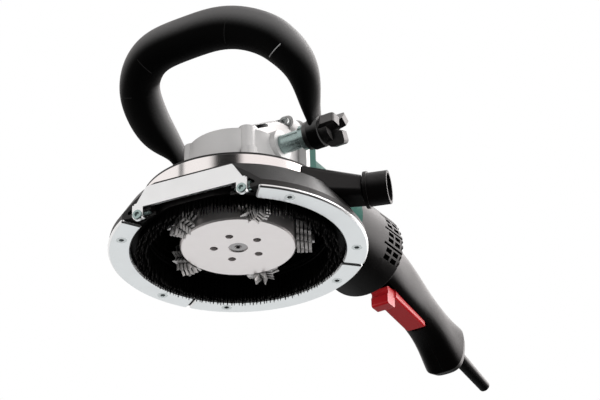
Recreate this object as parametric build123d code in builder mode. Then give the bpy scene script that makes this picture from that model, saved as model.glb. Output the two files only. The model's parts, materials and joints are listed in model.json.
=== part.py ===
"""Renovation grinder with a star-wheel milling head.

Frame: the spindle axis is Z, the milling disc's working face lies in Z = 0 and faces down,
and the motor and the rear handle run out along +X.
"""
from build123d import *
import math
import os

os.makedirs("parts", exist_ok=True)

# Clearances
running_gap = 0.05
sliding_gap = 0.3
free_gap = 0.4

# Milling head
disc_radius = 48.0
disc_height = 18.0
disc_edge = 1.2
disc_pocket_depth = 10.0
disc_hub_radius = 20.0
disc_rim_width = 13.0
face_hole_radius = 3.3
face_hole_depth = 8.0
face_hole_circle = 20.0
pack_count = 5
pack_angle = 11.0
pack_length = 12.0
axle_radius = 4.0
axle_embed = 11.0
axle_head_radius = 6.5
axle_head_thick = 2.2
star_radius = 14.0
star_root_radius = 8.5
star_teeth = 10
star_count = 4
star_thick = 2.2
star_hub_radius = 6.2

# Spindle, bevel gears and neck
axis_height = 91.0
nose_radius = 8.0
nose_recess = 0.8
nose_dimple_radius = 3.0
nose_dimple_depth = 1.6
nose_dimple_taper = 30.0
shoulder_radius = 11.0
shoulder_height = 7.5
shaft_radius = 8.5
crown_pitch_radius = 26.0
crown_inner_radius = 17.0
crown_teeth = 35
crown_body = 9.0
crown_rim = 2.0
pinion_teeth = 10
tooth_gap = 0.35
tooth_depth = 1.3
tooth_slot = 1.1
top_journal_radius = 5.0
top_bearing_radius = 8.0
top_bearing_height = 9.0
low_bearing_radius = 20.0
low_bearing_height = 12.0
neck_radius = 30.0
neck_clear = 0.5
neck_length = 20.0
neck_lip = 5.0
neck_lip_bore = 12.0
cap_thick = 8.0
snap_groove = 1.0
snap_width = 2.0
snap_ring_radius = 33.0

# Gear housing
head_radius = 42.0
head_wall = 6.0
head_rim_height = 90.0
head_top_radius = 16.0
head_top_height = 105.0
head_round = 5.0
head_ceiling = 93.0
head_ceiling_radius = 20.0
ear_circle = 45.0
ear_count = 4
ear_start = 45.0
ear_radius = 7.0
ear_height = 14.0
ear_rise = 2.0
cap_screw_radius = 2.5
cap_screw_head_radius = 4.3
cap_screw_head = 4.6
cap_screw_grip = 9.0
throat_front = -28.0
throat_front_height = 75.0
throat_front_half_width = 26.0
throat_front_half_height = 20.0
throat_half_width = 33.0
throat_half_height = 38.0
throat_rise = 2.5
throat_corner = 6.0
throat_slot_x = -5.0
throat_slot_height = 105.8
throat_slot_length = 18.0
throat_slot_width = 3.4
throat_slot_slope = 31.7
throat_slot_floor = 21.0
throat_slot_reach = 14.0
throat_bore = 12.0
throat_bore_start = 10.0
web_start = 40.0
flange_start = 45.0
flange_thick = 6.0
flange_half_width = 41.0
flange_half_height = 45.0
flange_corner = 12.0
flange_screw_y = 30.0
flange_screw_z = 35.0
flange_boss_radius = 7.5
flange_boss_length = 14.0
flange_pocket_length = 26.0
flange_screw_radius = 2.5
flange_screw_head_radius = 4.6
flange_screw_head = 4.0
flange_screw_grip = 9.0
flange_socket_radius = 2.2
flange_socket_depth = 2.0
lock_button_radius = 8.0
lock_pin_radius = 3.0
lock_button_height = 8.0
lock_travel = 5.0
lock_clear = 1.0
lock_button_edge = 1.5
lock_circle = 21.0
lock_angle = 100.0
lock_holes = 4
lock_boss_radius = 11.0

# Motor
tub_radius = 37.5
tub_wall = 3.0
tub_flange = 10.0
tub_end = 146.0
rotor_shaft_radius = 6.0
rotor_tip_radius = 4.0
rotor_tip_start = 16.0
front_bearing_radius = 16.0
front_bearing_width = 8.0
fan_start = 60.0
fan_width = 11.0
fan_radius = 31.0
fan_hub_radius = 11.0
fan_blades = 12
fan_blade_thick = 1.6
fan_back = 2.5
stator_start = 86.0
stator_length = 56.0
stator_bore = 23.4
coil_length = 11.0
coil_outer = 31.0
coil_inner = 25.0
air_gap = 0.8
core_overhang = 1.0
rotor_slots = 12
rotor_slot_depth = 5.0
rotor_slot_width = 2.4
commutator_start = 168.0
commutator_length = 16.0
commutator_radius = 14.0
brush_height = 8.0
brush_width = 6.0
brush_length = 12.0
brush_wall = 2.0
rear_bearing_start = 196.0
rear_bearing_radius = 11.0
rear_bearing_width = 7.0
rear_journal_radius = 4.0

# Motor and handle housing
shell_wall = 3.0
rear_radius = 39.8
rear_cylinder_end = 214.0
rear_face = 230.0
rear_face_radius = 24.0
web_margin = 3.0
grip_start = 206.0
grip_start_half_width = 30.0
grip_start_half_height = 32.0
grip_front = 240.0
grip_front_height = 94.5
grip_front_half_width = 20.5
grip_front_half_height = 26.0
grip_middle = 300.0
grip_middle_height = 79.5
grip_middle_half_width = 18.5
grip_middle_half_height = 20.5
grip_waist = 334.0
grip_waist_half_width = 18.5
grip_waist_half_height = 19.5
heel_start = 346.0
heel_start_half_width = 19.0
heel_start_half_height = 21.2
heel_end = 366.0
heel_half_width = 20.6
heel_half_height = 25.0
heel_bevel = 7.0
heel_inset = 2.6
heel_slope = 10.0
heel_drop = 2.5
grip_slope = 17.5
oval_points = 24
grip_front_square = 2.2
grip_middle_square = 2.3
grip_waist_square = 2.4
heel_start_square = 2.8
heel_square = 3.0
rear_round = 2.0
vent_start = 184.0
vent_length = 37.0
vent_height = 2.0
vent_top = 18.8
vent_group_pitch = 14.8
vent_groups = 3
vent_holes = 3
vent_hole_drops = (4.4, 10.0)
vent_hole_start = 189.5
vent_hole_pitch = 10.7
vent_hole_length = 8.2
vent_hole_height = 3.8
vent_depth = 14.0
housing_screw_radius = 1.8
housing_screw_head_radius = 3.4
housing_screw_head = 3.0
housing_boss_radius = 4.6
housing_screw_seat = 9.0
housing_screw_reach = 10.0
housing_screw_places = ((188.0, 119.0), (188.0, 63.0), (243.0, 110.0), (322.0, 72.5), (342.0, 65.0))

# Switch
paddle_front = 238.0
paddle_rear = 309.0
paddle_half_width = 10.0
paddle_front_bottom = 62.0
paddle_rear_bottom = 56.6
paddle_top = 72.0
paddle_heel = 4.0
paddle_pin_x = 302.0
paddle_pin_height = 68.0
paddle_pin_radius = 2.0
paddle_boss_radius = 5.0
paddle_edge = 2.2
paddle_corner = 6.0
paddle_front_gap = 1.6
paddle_pin_half_length = 14.0
paddle_tongue_radius = 4.0
paddle_tongue_half_width = 4.0
lock_lever_length = 13.0
lock_lever_half_width = 8.5
lock_lever_drop = 10.0
lock_lever_rise = 2.4
lock_lever_corner = 2.2
lock_lever_hollow = 4.5
lock_lever_hollow_drop = 3.0
lock_lever_hollow_reach = 3.0
lock_lever_pin_radius = 1.5
lock_lever_pin_height = 67.0
lock_lever_pin_back = 6.6
switch_front = 252.0
switch_length = 36.0
switch_half_width = 9.0
switch_bottom = 82.0
switch_height = 15.0
switch_rib = 4.0

# Cable sleeve
sleeve_root_radius = 7.0
sleeve_tip_radius = 5.4
sleeve_length = 72.0
sleeve_bore = 3.4
sleeve_collar_radius = 9.6
sleeve_rise = 9.0
sleeve_collar_thick = 3.0

# Guard
guard_turn = 6.2
disc_recess = 4.0
ring_radius = 107.0
ring_inner_radius = 88.5
plate_thick = 2.5
plate_gap = 2.0
plate_bevel = 1.2
rear_plate_half_angle = 50.0
side_plate_end = 145.0
plate_screw_circle = 97.5
plate_screw_angles = (-32.0, 32.0, 67.0, 129.0, -67.0, -129.0)
plate_screw_radius = 2.0
plate_screw_head_radius = 4.4
plate_screw_head = 2.2
plate_screw_grip = 2.8
plate_socket_radius = 2.3
plate_socket_depth = 1.4
socket_sides = 6
rim_radius = 106.0
rim_height = 5.5
shell_thick = 3.0
flange_depth = 3.5
shell_top_radius = 92.0
shell_height = 27.5
front_flat = 86.0
front_wall = 3.0
front_lip_gap = 0.7
collar_radius = 79.5
collar_height = 18.0
collar_thick = 2.0
collar_plate = 2.5
collar_sleeve_wall = 3.5

# Brush ring
brush_inner_radius = 74.5
brush_outer_radius = 82.2
brush_backing = 3.0
brush_drop = 5.5
holder_wall = 2.4
holder_top = 17.0
holder_plate = 3.0
holder_foot_radius = 95.0
holder_foot = 3.0
arc_count = 6
arc_gap = 0.6
strands_per_row = 36
strand_rows = 2
strand_size = 1.0
strand_sides = 3
strand_root = 0.5

# Flip segment
hinge_distance = 82.0
hinge_half_span = 46.5
flip_plate_thick = 2.5
flip_reach_inner = 2.0
flip_reach_outer = 20.0
flip_root_half_width = 50.0
flip_tip_half_width = 38.5
flip_lug_radius = 5.0
flip_lug_thick = 6.0
flip_lug_height = 6.0
flip_pad_half_width = 4.8
flip_pad_drop = 9.2
pad_screw_drop = 4.4
pad_screw_radius = 1.5
pad_screw_length = 2.4
pad_screw_head_radius = 4.0
pad_screw_head = 2.3
pad_screw_proud = 1.1
pad_socket_radius = 2.3
pad_socket_depth = 1.6
hinge_screw_radius = 2.5
hinge_screw_head_radius = 4.0
hinge_screw_head = 2.6
hinge_block_width = 7.0
hinge_block_depth = 8.0

# Dust duct and hose stub
duct_direction = -72.0
duct_root_direction = -60.0
duct_root_x = -8.5
duct_root_y = -67.6
duct_end_x = 16.2
duct_end_y = -111.0
duct_middle_height = 26.5
duct_width = 26.0
duct_height = 19.0
duct_root_width = 36.0
duct_root_height = 26.0
duct_rise = 4.0
duct_wall = 2.0
duct_corner = 5.0
stub_neck_radius = 6.6
stub_neck_length = 1.5
stub_radius = 14.0
stub_length = 17.0
stub_bore = 5.2
stub_mouth = 11.5
stub_mouth_depth = 14.0
stub_rib = 1.4
stub_rib_width = 3.0
stub_lip = 0.6
stub_lip_thick = 2.0

# Bow handle
pivot_height = 84.0
bow_tilt = 30.0
side_boss_radius = 13.0
side_boss_face = 45.0
near_eye_length = 10.0
far_eye_length = 10.7
eye_radius = 13.0
stud_radius = 4.0
stud_body_radius = 8.0
stud_collar_radius = 10.5
stud_collar_width = 5.0
stud_shoulder = 25.0
tooth_disc_radius = 12.0
tooth_disc_thick = 4.0
knob_hub_radius = 11.0
knob_hub_length = 8.0
knob_wings = 3
knob_wing_reach = 15.5
knob_wing_rise = 18.0
knob_wing_thick = 8.0
knob_wing_angle = 297.0
knob_wing_corner = 3.0
knob_wing_foot = 1.0
bolt_head_radius = 8.0
bolt_head = 5.0
bolt_grip = 12.0
bow_sections = (
    (-79.2, 2.0, 4.8, 11.0), (-79.3, 13.0, 4.8, 11.5), (-79.8, 24.0, 7.2, 12.5),
    (-81.6, 40.0, 11.0, 14.0), (-80.8, 56.0, 14.2, 15.5), (-74.3, 72.5, 16.6, 16.5),
    (-60.0, 90.5, 18.0, 17.0), (-33.5, 105.8, 18.2, 17.0), (-3.0, 111.2, 18.2, 17.0),
    (25.0, 111.2, 18.2, 17.0), (46.3, 108.4, 18.0, 17.0), (61.4, 99.3, 17.5, 17.0),
    (70.0, 85.0, 17.4, 17.0), (70.0, 60.0, 17.4, 16.5), (62.0, 37.0, 14.0, 15.0),
    (53.5, 21.0, 7.8, 12.5), (50.7, 8.0, 5.0, 11.0), (50.6, 2.0, 5.0, 10.5),
)

# Heights and lengths that follow from the driving dimensions
axle_height = disc_height / 2
shoulder_top = disc_height + shoulder_height
neck_bottom = shoulder_top + neck_clear
neck_top = neck_bottom + neck_length
cap_top = neck_top + cap_thick
pitch_slope = pinion_teeth / crown_teeth
plate_face = -disc_recess
plate_top = plate_face + plate_thick
shell_top = plate_top + shell_height
collar_top = shell_top + collar_height
flange_end = flange_start + flange_thick
motor_axis = Axis((0, 0, axis_height), (1, 0, 0))
guard_plane = Plane.XY.rotated((0, 0, guard_turn))
hinge_height = plate_face + front_flat - hinge_distance + sliding_gap + flip_plate_thick
front_lip = hinge_height + flip_lug_radius + front_lip_gap


def write(piece, name):
    """Label a finished piece and write its file."""
    piece.part.label = name
    export_step(piece.part, f"parts/{name}.step")


def radial_plane(angle, radius, height):
    """Plane across a radius of the spindle: its normal points outward at the given angle."""
    cos, sin = math.cos(math.radians(angle)), math.sin(math.radians(angle))
    return Plane(
        origin=(radius * cos, radius * sin, height), x_dir=(-sin, cos, 0), z_dir=(cos, sin, 0)
    )


def across_x(x, y=0.0, z=axis_height):
    """Plane across the motor's length: its normal is +X, local x is Y and local y is Z."""
    return Plane(origin=(x, y, z), x_dir=(0, 1, 0), z_dir=(1, 0, 0))


def across_y(x, y, z):
    """Plane across the tool: its normal is -Y, local x is X and local y is Z."""
    return Plane(origin=(x, y, z), x_dir=(1, 0, 0), z_dir=(0, -1, 0))


def lathe(points, axis=Axis.Z, mode=Mode.ADD):
    """Turn a closed outline, drawn in the plane Y = 0 as (x, z), about an axis."""
    with BuildSketch(Plane.XZ) as outline:
        with BuildLine():
            Polyline(*points, close=True)
        make_face()
    revolve(outline.sketch, axis=axis, mode=mode)


def rod(plane, radius, length, mode=Mode.ADD):
    """Round rod that starts on a plane and runs along its normal."""
    with BuildSketch(plane) as outline:
        Circle(radius)
    extrude(outline.sketch, amount=length, mode=mode)


def tube(plane, outer, inner, length, mode=Mode.ADD):
    """Round tube that starts on a plane and runs along its normal."""
    with BuildSketch(plane) as outline:
        Circle(outer)
        Circle(inner, mode=Mode.SUBTRACT)
    extrude(outline.sketch, amount=length, mode=mode)


def block(plane, width, height, length, mode=Mode.ADD):
    """Rectangular block, centred on a plane, that runs along its normal."""
    with BuildSketch(plane) as outline:
        Rectangle(width, height)
    extrude(outline.sketch, amount=length, mode=mode)


def rounded(plane, half_width, half_height, corner):
    """Face of a rounded rectangle, centred on a plane."""
    with BuildSketch(plane) as outline:
        RectangleRounded(2 * half_width, 2 * half_height, corner)
    return outline.sketch.face()


def rods_round(height, circle, count, start, radius, length, mode=Mode.ADD):
    """Ring of upright rods about the spindle axis."""
    with BuildSketch(Plane.XY.offset(height)) as outline:
        with PolarLocations(circle, count, start_angle=start):
            Circle(radius)
    extrude(outline.sketch, amount=length, mode=mode)


# Milling head: the disc, its radial axles and the packs of star wheels
pack_step = 360 / pack_count
pack_angles = [pack_angle + pack_step * i for i in range(pack_count)]
pack_start = disc_radius + free_gap
axle_head_start = pack_start + pack_length + free_gap

with BuildPart() as milling_disc:
    rod(Plane.XY, disc_radius, disc_height)
    chamfer(milling_disc.edges().group_by(Axis.Z)[0], disc_edge)
    tube(Plane.XY.offset(disc_height - disc_pocket_depth), disc_radius - disc_rim_width,
         disc_hub_radius, disc_pocket_depth, mode=Mode.SUBTRACT)
    rod(Plane.XY, nose_radius, disc_height, mode=Mode.SUBTRACT)
    rods_round(0, face_hole_circle, pack_count, pack_angle + pack_step / 2, face_hole_radius,
               face_hole_depth, mode=Mode.SUBTRACT)
    for angle in pack_angles:
        rod(radial_plane(angle, disc_radius - axle_embed, axle_height), axle_radius,
            axle_embed + free_gap, mode=Mode.SUBTRACT)
write(milling_disc, "milling_disc")

with BuildPart() as star_axles:
    for angle in pack_angles:
        rod(radial_plane(angle, disc_radius - axle_embed, axle_height), axle_radius,
            axle_embed + axle_head_start - disc_radius)
        rod(radial_plane(angle, axle_head_start, axle_height), axle_head_radius, axle_head_thick)
write(star_axles, "star_axles")

star_pitch = (pack_length - star_thick) / (star_count - 1)
for number, angle in enumerate(pack_angles, start=1):
    with BuildPart() as star_pack:
        rod(radial_plane(angle, pack_start, axle_height), star_hub_radius, pack_length)
        for wheel in range(star_count):
            with BuildSketch(radial_plane(angle, pack_start + wheel * star_pitch, axle_height)):
                half_tooth = 180 / star_teeth
                corners = []
                for k in range(2 * star_teeth):
                    reach = star_root_radius if k % 2 else star_radius
                    turn = math.radians(half_tooth * (k + wheel / star_count))
                    corners.append((reach * math.cos(turn), reach * math.sin(turn)))
                Polygon(*corners, align=None)
            extrude(amount=star_thick)
        rod(radial_plane(angle, pack_start, axle_height), axle_radius + running_gap, pack_length,
            mode=Mode.SUBTRACT)
    write(star_pack, f"star_pack_{number}")

# Spindle: threaded nose, shoulder for the disc, shaft, gear seat and top journal
crown_face = axis_height - crown_inner_radius * pitch_slope
crown_bottom = axis_height - crown_pitch_radius * pitch_slope - crown_body
journal_top = head_ceiling + top_bearing_height

with BuildPart() as spindle:
    rod(Plane.XY.offset(nose_recess), nose_radius, disc_height - nose_recess)
    rod(Plane.XY.offset(disc_height), shoulder_radius, shoulder_height)
    rod(Plane.XY.offset(shoulder_top), shaft_radius, crown_face - tooth_gap - shoulder_top)
    rod(Plane.XY.offset(crown_face - tooth_gap), top_journal_radius, journal_top - crown_face)
    with BuildSketch(Plane.XY.offset(nose_recess)):
        Circle(nose_dimple_radius)
    extrude(amount=nose_dimple_depth, taper=nose_dimple_taper, mode=Mode.SUBTRACT)
write(spindle, "spindle")

# Bevel pair: both wheels stay inside their own pitch cones, a tooth gap apart
crown_outer_radius = crown_pitch_radius + crown_rim
with BuildPart() as crown_gear:
    lathe([
        (shaft_radius, crown_bottom),
        (crown_outer_radius, crown_bottom),
        (crown_outer_radius, axis_height - crown_outer_radius * pitch_slope - tooth_gap),
        (crown_inner_radius, crown_face - tooth_gap),
        (shaft_radius, crown_face - tooth_gap),
    ])
    for k in range(crown_teeth):
        with BuildSketch(radial_plane(k * 360 / crown_teeth, crown_inner_radius, axis_height)):
            with Locations((0, -crown_pitch_radius * pitch_slope)):
                Rectangle(tooth_slot, 2 * tooth_depth)
        extrude(amount=crown_outer_radius - crown_inner_radius, mode=Mode.SUBTRACT)
    rods_round(crown_bottom, lock_circle, lock_holes, lock_angle, lock_pin_radius + sliding_gap,
               crown_face - crown_bottom, mode=Mode.SUBTRACT)
write(crown_gear, "crown_gear")

pinion_start = crown_inner_radius + tooth_gap
pinion_end = crown_outer_radius
with BuildPart() as drive_pinion:
    lathe([
        (pinion_start, axis_height + rotor_tip_radius),
        (pinion_end, axis_height + rotor_tip_radius),
        (pinion_end, axis_height + pinion_end * pitch_slope - tooth_gap),
        (pinion_start, axis_height + pinion_start * pitch_slope - tooth_gap),
    ], axis=motor_axis)
write(drive_pinion, "drive_pinion")

# Neck: the cap under the gear housing holds the lower bearing and carries the guard
low_bearing_bottom = neck_bottom + neck_lip
with BuildPart() as bearing_cap:
    rod(Plane.XY.offset(neck_bottom), neck_radius, neck_length)
    rod(Plane.XY.offset(neck_top), head_radius, cap_thick)
    rods_round(neck_top, ear_circle, ear_count, ear_start, ear_radius, cap_thick)
    rod(Plane.XY.offset(low_bearing_bottom), low_bearing_radius, cap_top - low_bearing_bottom,
        mode=Mode.SUBTRACT)
    rod(Plane.XY.offset(neck_bottom), neck_lip_bore, neck_lip, mode=Mode.SUBTRACT)
    tube(Plane.XY.offset(neck_bottom + snap_width), neck_radius + snap_groove,
         neck_radius - snap_groove, snap_width, mode=Mode.SUBTRACT)
    rods_round(neck_top, ear_circle, ear_count, ear_start, cap_screw_head_radius + sliding_gap,
               cap_screw_head, mode=Mode.SUBTRACT)
    rods_round(neck_top, ear_circle, ear_count, ear_start, cap_screw_radius, cap_thick,
               mode=Mode.SUBTRACT)
write(bearing_cap, "bearing_cap")

with BuildPart() as retaining_ring:
    tube(Plane.XY.offset(neck_bottom + snap_width), snap_ring_radius, neck_radius - snap_groove,
         snap_width)
write(retaining_ring, "retaining_ring")

with BuildPart() as spindle_bearing_lower:
    tube(Plane.XY.offset(low_bearing_bottom), low_bearing_radius, shaft_radius + running_gap,
         low_bearing_height)
write(spindle_bearing_lower, "spindle_bearing_lower")

with BuildPart() as spindle_bearing_upper:
    tube(Plane.XY.offset(head_ceiling), top_bearing_radius, top_journal_radius + running_gap,
         top_bearing_height)
write(spindle_bearing_upper, "spindle_bearing_upper")

with BuildPart() as cap_screws:
    rods_round(neck_top, ear_circle, ear_count, ear_start, cap_screw_head_radius, cap_screw_head)
    rods_round(neck_top + cap_screw_head, ear_circle, ear_count, ear_start, cap_screw_radius,
               cap_thick - cap_screw_head + cap_screw_grip)
write(cap_screws, "cap_screws")

# Gear housing: round head, throat and square motor flange in one casting
cavity_radius = head_radius - head_wall
lock_seat = head_top_height - lock_travel
flange_corners = [
    (y, z, flange_start if z < 0 else flange_start - flange_boss_length)
    for y in (-flange_screw_y, flange_screw_y) for z in (-flange_screw_z, flange_screw_z)
]

throat_end = rounded(
    across_x(flange_start - flange_boss_length, z=axis_height + throat_rise), throat_half_width,
    throat_half_height, throat_corner,
)
with BuildPart() as gear_housing:
    lathe([
        (0, cap_top), (head_radius, cap_top), (head_radius, head_rim_height),
        (head_top_radius, head_top_height), (0, head_top_height),
    ])
    fillet(gear_housing.edges().group_by(Axis.Z)[-2:], head_round)
    loft([
        rounded(across_x(throat_front, z=throat_front_height), throat_front_half_width,
                throat_front_half_height, throat_corner),
        throat_end,
    ])
    extrude(throat_end, amount=flange_boss_length)
    rods_round(cap_top, ear_circle, ear_count, ear_start, ear_radius, ear_height)
    rods_round(cap_top, ear_circle - ear_radius, ear_count, ear_start, ear_radius,
               head_rim_height + ear_rise - cap_top)
    extrude(rounded(across_x(flange_start), flange_half_width, flange_half_height, flange_corner),
            amount=flange_thick)
    for y, z, start in flange_corners:
        rod(across_x(start, y, axis_height + z), flange_boss_radius, flange_end - start)
    for side in (-1, 1):
        rod(across_y(0, side * side_boss_face, pivot_height), side_boss_radius,
            side * side_boss_face)
    rods_round(head_ceiling, lock_circle, 1, lock_angle, lock_boss_radius,
               head_top_height - head_ceiling)
    lathe([
        (0, cap_top), (cavity_radius, cap_top), (cavity_radius, head_rim_height - head_wall),
        (head_ceiling_radius, head_ceiling), (0, head_ceiling),
    ], mode=Mode.SUBTRACT)
    rod(across_x(throat_bore_start), throat_bore, web_start - throat_bore_start, mode=Mode.SUBTRACT)
    rod(across_x(web_start), rotor_shaft_radius + free_gap, flange_end - web_start,
        mode=Mode.SUBTRACT)
    rod(across_x(flange_end - front_bearing_width), front_bearing_radius, front_bearing_width,
        mode=Mode.SUBTRACT)
    rod(Plane.XY.offset(head_ceiling), top_bearing_radius, top_bearing_height, mode=Mode.SUBTRACT)
    rods_round(cap_top, ear_circle, ear_count, ear_start, cap_screw_radius, cap_screw_grip,
               mode=Mode.SUBTRACT)
    for side in (-1, 1):
        rod(across_y(0, side * side_boss_face, pivot_height), stud_radius, side * bolt_grip,
            mode=Mode.SUBTRACT)
    for y, z, start in flange_corners:
        rod(across_x(start, y, axis_height + z), flange_screw_radius, flange_end - start,
            mode=Mode.SUBTRACT)
        rod(across_x(start, y, axis_height + z), flange_screw_head_radius + lock_clear,
            -flange_pocket_length, mode=Mode.SUBTRACT)
    slope = math.radians(throat_slot_slope)
    for side in (-1, 1):
        throat_slot = Plane(
            origin=(throat_slot_x, side * throat_slot_floor, throat_slot_height),
            x_dir=(math.cos(slope), 0, math.sin(slope)), z_dir=(0, side, 0),
        )
        with BuildSketch(throat_slot) as slot_outline:
            SlotOverall(throat_slot_length, throat_slot_width)
        extrude(slot_outline.sketch, amount=throat_slot_reach, mode=Mode.SUBTRACT)
    rods_round(cap_top, lock_circle, 1, lock_angle, lock_pin_radius + sliding_gap, head_top_height,
               mode=Mode.SUBTRACT)
    rods_round(lock_seat - lock_button_height / 2, lock_circle, 1, lock_angle,
               lock_button_radius + sliding_gap, head_top_height, mode=Mode.SUBTRACT)
write(gear_housing, "gear_housing")

with BuildPart() as spindle_lock_button:
    rods_round(head_top_height - lock_button_height / 2, lock_circle, 1, lock_angle,
               lock_button_radius, lock_button_height)
    rods_round(crown_face + lock_clear, lock_circle, 1, lock_angle, lock_pin_radius,
               head_top_height - crown_face - lock_clear)
    fillet(spindle_lock_button.edges().group_by(Axis.Z)[-1], lock_button_edge)
write(spindle_lock_button, "spindle_lock_button")

with BuildPart() as flange_screws:
    for y, z, start in flange_corners:
        head_face = across_x(start - flange_screw_head, y, axis_height + z)
        rod(head_face, flange_screw_head_radius, flange_screw_head)
        rod(across_x(start, y, axis_height + z), flange_screw_radius,
            flange_end - start + flange_screw_grip)
        rod(head_face, flange_socket_radius, flange_socket_depth, mode=Mode.SUBTRACT)
write(flange_screws, "flange_screws")

# Motor tub and what turns and stands in it
tub_bore = tub_radius - tub_wall
with BuildPart() as motor_tub:
    extrude(rounded(across_x(flange_end), flange_half_width, flange_half_height, flange_corner),
            amount=tub_flange)
    rod(across_x(flange_end), tub_radius, tub_end - flange_end)
    rod(across_x(flange_end), tub_bore, tub_end - flange_end, mode=Mode.SUBTRACT)
    for y, z, start in flange_corners:
        rod(across_x(flange_end, y, axis_height + z), flange_screw_radius, flange_screw_grip,
            mode=Mode.SUBTRACT)
write(motor_tub, "motor_tub")

with BuildPart() as stator_core:
    tube(across_x(stator_start), tub_bore, stator_bore, stator_length)
write(stator_core, "stator_core")

stator_end = stator_start + stator_length
with BuildPart() as field_coils:
    tube(across_x(stator_start - coil_length), coil_outer, coil_inner, coil_length)
    tube(across_x(stator_end), coil_outer, coil_inner, coil_length)
write(field_coils, "field_coils")

with BuildPart() as rotor_shaft:
    rod(across_x(rotor_tip_start), rotor_tip_radius, pinion_end - rotor_tip_start)
    rod(across_x(pinion_end), rotor_shaft_radius, rear_bearing_start - pinion_end)
    rod(across_x(rear_bearing_start), rear_journal_radius, rear_bearing_width)
write(rotor_shaft, "rotor_shaft")

core_radius = stator_bore - air_gap
with BuildPart() as rotor_core:
    tube(across_x(stator_start - core_overhang), core_radius, rotor_shaft_radius,
         stator_length + 2 * core_overhang)
    with BuildSketch(across_x(stator_start - core_overhang)):
        with PolarLocations(core_radius, rotor_slots):
            Rectangle(2 * rotor_slot_depth, rotor_slot_width)
    extrude(amount=stator_length + 2 * core_overhang, mode=Mode.SUBTRACT)
write(rotor_core, "rotor_core")

with BuildPart() as commutator:
    tube(across_x(commutator_start), commutator_radius, rotor_shaft_radius, commutator_length)
write(commutator, "commutator")

with BuildPart() as fan:
    tube(across_x(fan_start), fan_hub_radius, rotor_shaft_radius, fan_width)
    tube(across_x(fan_start + fan_width - fan_back), fan_radius, rotor_shaft_radius, fan_back)
    with BuildSketch(across_x(fan_start)):
        with PolarLocations((fan_radius + fan_hub_radius) / 2 - 1, fan_blades):
            Rectangle(fan_radius - fan_hub_radius + 1, fan_blade_thick)
    extrude(amount=fan_width - fan_back)
write(fan, "fan")

with BuildPart() as rotor_bearing_front:
    tube(across_x(flange_end - front_bearing_width), front_bearing_radius,
         rotor_shaft_radius + running_gap, front_bearing_width)
write(rotor_bearing_front, "rotor_bearing_front")

with BuildPart() as rotor_bearing_rear:
    tube(across_x(rear_bearing_start), rear_bearing_radius, rear_journal_radius + running_gap,
         rear_bearing_width)
write(rotor_bearing_rear, "rotor_bearing_rear")

# Carbon brushes press on the commutator from both sides, each in its holder
brush_middle = commutator_start + commutator_length / 2
brush_end = commutator_radius + running_gap + brush_length
with BuildPart() as carbon_brushes:
    for side in (-1, 1):
        block(across_y(brush_middle, side * (commutator_radius + running_gap), axis_height),
              brush_width, brush_height, -side * brush_length)
write(carbon_brushes, "carbon_brushes")

with BuildPart() as brush_boxes:
    for side in (-1, 1):
        seat = across_y(brush_middle, side * (commutator_radius + brush_wall), axis_height)
        block(seat, brush_width + 2 * brush_wall, brush_height + 2 * brush_wall,
              -side * (tub_bore - commutator_radius - 2 * brush_wall))
        block(seat, brush_width, brush_height,
              -side * (brush_end - commutator_radius - brush_wall), mode=Mode.SUBTRACT)
write(brush_boxes, "brush_boxes")


# Motor and handle housing: a turned motor end that runs into the lofted grip
def grip_plane(x, height, slope):
    """Plane across the grip at a place along its length, leaning with its slope."""
    lean = math.radians(slope)
    return Plane(
        origin=(x, 0, height), x_dir=(0, 1, 0), z_dir=(math.cos(lean), 0, -math.sin(lean))
    )


def oval(plane, half_width, half_height, power):
    """Closed outline from an ellipse, at power 2, towards a rounded rectangle."""
    points = []
    for k in range(oval_points):
        turn = 2 * math.pi * k / oval_points
        cos, sin = math.cos(turn), math.sin(turn)
        points.append((
            half_width * math.copysign(abs(cos) ** (2 / power), cos),
            half_height * math.copysign(abs(sin) ** (2 / power), sin),
        ))
    with BuildSketch(plane) as outline:
        with BuildLine():
            Spline(*points, periodic=True)
        make_face()
    return outline.sketch.face()


def grip_height(x):
    """Height of the grip's middle behind its middle section."""
    return grip_middle_height - (x - grip_middle) * math.tan(math.radians(grip_slope))


handle_end = grip_plane(heel_end, grip_height(heel_end) - heel_drop, heel_slope)
heel_ring = handle_end.offset(-heel_bevel)


def grip_sections(inset, end):
    """Sections of the grip, each drawn in by an inset, down to a given end plane."""
    return [
        oval(grip_plane(grip_start, axis_height, 0), grip_start_half_width - inset,
             grip_start_half_height - inset, 2),
        oval(grip_plane(grip_front, grip_front_height, grip_slope / 2), grip_front_half_width - inset,
             grip_front_half_height - inset, grip_front_square),
        oval(grip_plane(grip_middle, grip_middle_height, grip_slope), grip_middle_half_width - inset,
             grip_middle_half_height - inset, grip_middle_square),
        oval(grip_plane(grip_waist, grip_height(grip_waist), grip_slope),
             grip_waist_half_width - inset, grip_waist_half_height - inset, grip_waist_square),
        oval(grip_plane(heel_start, grip_height(heel_start) - heel_drop / 2, grip_slope),
             heel_start_half_width - inset, heel_start_half_height - inset, heel_start_square),
        oval(end, heel_half_width - inset, heel_half_height - inset, heel_square),
    ]


with BuildPart() as housing_body:
    lathe([
        (tub_end, axis_height), (tub_end, axis_height + tub_radius),
        (rear_cylinder_end, axis_height + rear_radius), (rear_face, axis_height + rear_face_radius),
        (rear_face, axis_height),
    ], axis=motor_axis)
    fillet(housing_body.edges().filter_by(GeomType.CIRCLE).sort_by(Axis.X)[1:], rear_round)
    loft(grip_sections(0, heel_ring))
    loft([
        oval(heel_ring, heel_half_width, heel_half_height, heel_square),
        oval(handle_end, heel_half_width - heel_inset, heel_half_height - heel_inset, heel_square),
    ], ruled=True)

with BuildPart() as housing_inside:
    lathe([
        (tub_end, axis_height), (tub_end, axis_height + tub_bore),
        (rear_cylinder_end, axis_height + rear_radius - shell_wall),
        (rear_face - shell_wall, axis_height + rear_face_radius - shell_wall),
        (rear_face - shell_wall, axis_height),
    ], axis=motor_axis)
    loft(grip_sections(shell_wall, heel_ring))

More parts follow.
